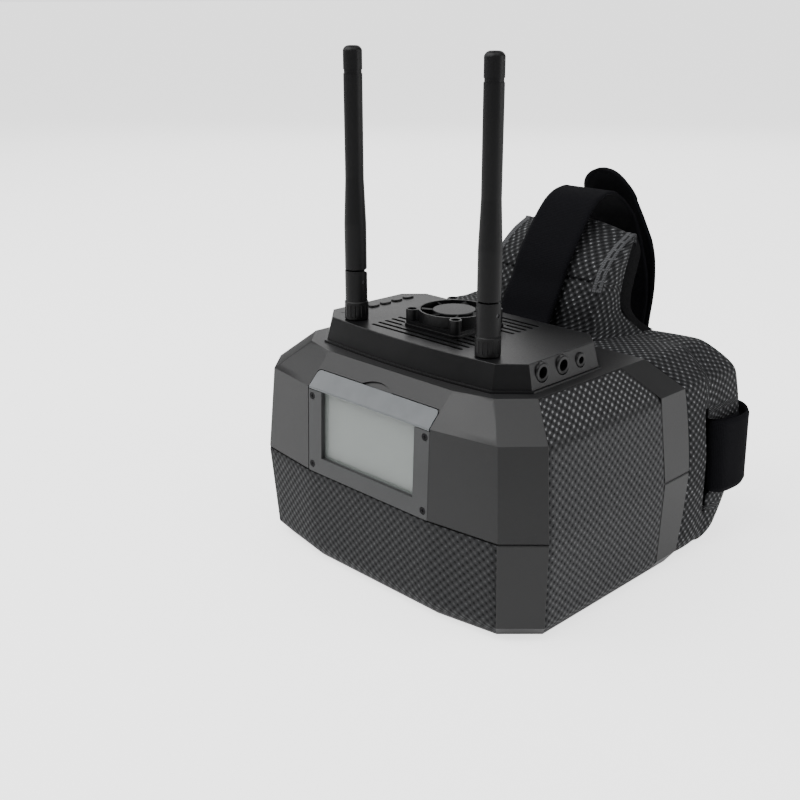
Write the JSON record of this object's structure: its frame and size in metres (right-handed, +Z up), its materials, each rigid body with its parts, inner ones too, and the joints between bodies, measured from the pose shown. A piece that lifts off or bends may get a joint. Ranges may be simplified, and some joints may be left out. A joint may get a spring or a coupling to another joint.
{
  "type": "fpv goggles",
  "caption": "Box-shaped head-worn video goggles with a knit-covered face mask, folding antennas, cooling fan, side sockets and elastic straps.",
  "frame": {"origin": "bottom centre of the overall bounding box, on the surface the body rests on", "axes": "+Z up along the antennas, -Y the front the goggles look out of, +X the side with the sockets"},
  "size_m": [0.1958, 0.208, 0.2514],
  "materials": {
    "shell_plastic": "fine moulded texture, satin",
    "housing_plastic": "fine moulded texture, satin",
    "bezel_plastic": "satin",
    "inner_plastic": "matt black",
    "cover_plastic": "clear, polished",
    "frosted_plastic": "frosted",
    "fan_plastic": "moulded",
    "key_plastic": "satin",
    "socket_plastic": "moulded",
    "antenna_plastic": "satin, rubbery",
    "knit": "knitted, charcoal",
    "mask_fabric": "spacer mesh, charcoal",
    "foam": "soft foam",
    "elastic": "ribbed elastic webbing",
    "screen_glass": "polished",
    "lens_glass": "polished",
    "board": "lacquered",
    "gold_metal": "plated",
    "pin_steel": "turned",
    "black_screw": "black oxide"
  },
  "bodies": {
    "main": {"shell_upper": "shell_plastic", "shell_lower": "shell_plastic", "shell_screws": "black_screw", "bezel_front": "bezel_plastic", "bezel_screws": "black_screw", "panel_frosted": "frosted_plastic", "window_frame": "inner_plastic", "fabric_front": "knit", "fabric_side_right": "knit", "fabric_side_left": "knit", "lcd_panel": "screen_glass", "lens_frame": "inner_plastic", "lens": "lens_glass", "housing_top": "housing_plastic", "fan_pad": "housing_plastic", "fan_frame": "fan_plastic", "fan_screws": "black_screw", "led_lens": "key_plastic", "socket_front": "socket_plastic", "socket_middle": "socket_plastic", "socket_rear": "socket_plastic", "main_board": "board", "connector_right": "gold_metal", "connector_left": "gold_metal", "antenna_nut_right": "antenna_plastic", "antenna_nut_left": "antenna_plastic", "face_mask": "mask_fabric", "face_cushion": "foam", "forehead_tongue": "mask_fabric", "strap_top": "elastic", "strap_top_tail": "elastic", "head_band": "elastic", "strap_side_right": "elastic", "strap_side_left": "elastic"},
    "cover": {"cover_window": "cover_plastic"},
    "rotor": {"fan_rotor": "fan_plastic"},
    "key_1": {"button_1": "key_plastic"},
    "key_2": {"button_2": "key_plastic"},
    "key_3": {"button_3": "key_plastic"},
    "key_4": {"button_4": "key_plastic"},
    "elbow_right": {"antenna_elbow_right": "antenna_plastic", "antenna_pin_right": "pin_steel"},
    "whip_right": {"antenna_whip_right": "antenna_plastic"},
    "elbow_left": {"antenna_elbow_left": "antenna_plastic", "antenna_pin_left": "pin_steel"},
    "whip_left": {"antenna_whip_left": "antenna_plastic"}
  },
  "joints": [
    {"name": "cover_lift", "type": "slide", "parent": "main", "child": "cover", "axis": [0, 0.0341, 0.9994], "range_m": [0, 0.035]},
    {"name": "fan_spin", "type": "hinge", "parent": "main", "child": "rotor", "pos_m": [-0.001, -0.0426, 0.125], "axis": [0, 0, 1], "continuous": true},
    {"name": "key_1_press", "type": "slide", "parent": "main", "child": "key_1", "axis": [0, 0, -1], "range_m": [0, 0.0006], "stiffness_N_per_m": 600, "springref_m": -0.0005},
    {"name": "key_2_press", "type": "slide", "parent": "main", "child": "key_2", "axis": [0, 0, -1], "range_m": [0, 0.0006], "stiffness_N_per_m": 600, "springref_m": -0.0005},
    {"name": "key_3_press", "type": "slide", "parent": "main", "child": "key_3", "axis": [0, 0, -1], "range_m": [0, 0.0006], "stiffness_N_per_m": 600, "springref_m": -0.0005},
    {"name": "key_4_press", "type": "slide", "parent": "main", "child": "key_4", "axis": [0, 0, -1], "range_m": [0, 0.0006], "stiffness_N_per_m": 600, "springref_m": -0.0005},
    {"name": "elbow_right_swivel", "type": "hinge", "parent": "main", "child": "elbow_right", "pos_m": [0.0438, -0.0681, 0.1305], "axis": [0, 0, 1], "continuous": true},
    {"name": "whip_right_tilt", "type": "hinge", "parent": "elbow_right", "child": "whip_right", "pos_m": [0.0438, -0.0681, 0.1402], "axis": [-1, 0, 0], "range_deg": [0, 90]},
    {"name": "elbow_left_swivel", "type": "hinge", "parent": "main", "child": "elbow_left", "pos_m": [-0.0438, -0.0681, 0.1305], "axis": [0, 0, 1], "continuous": true},
    {"name": "whip_left_tilt", "type": "hinge", "parent": "elbow_left", "child": "whip_left", "pos_m": [-0.0438, -0.0681, 0.1402], "axis": [-1, 0, 0], "range_deg": [0, 90]}
  ]
}
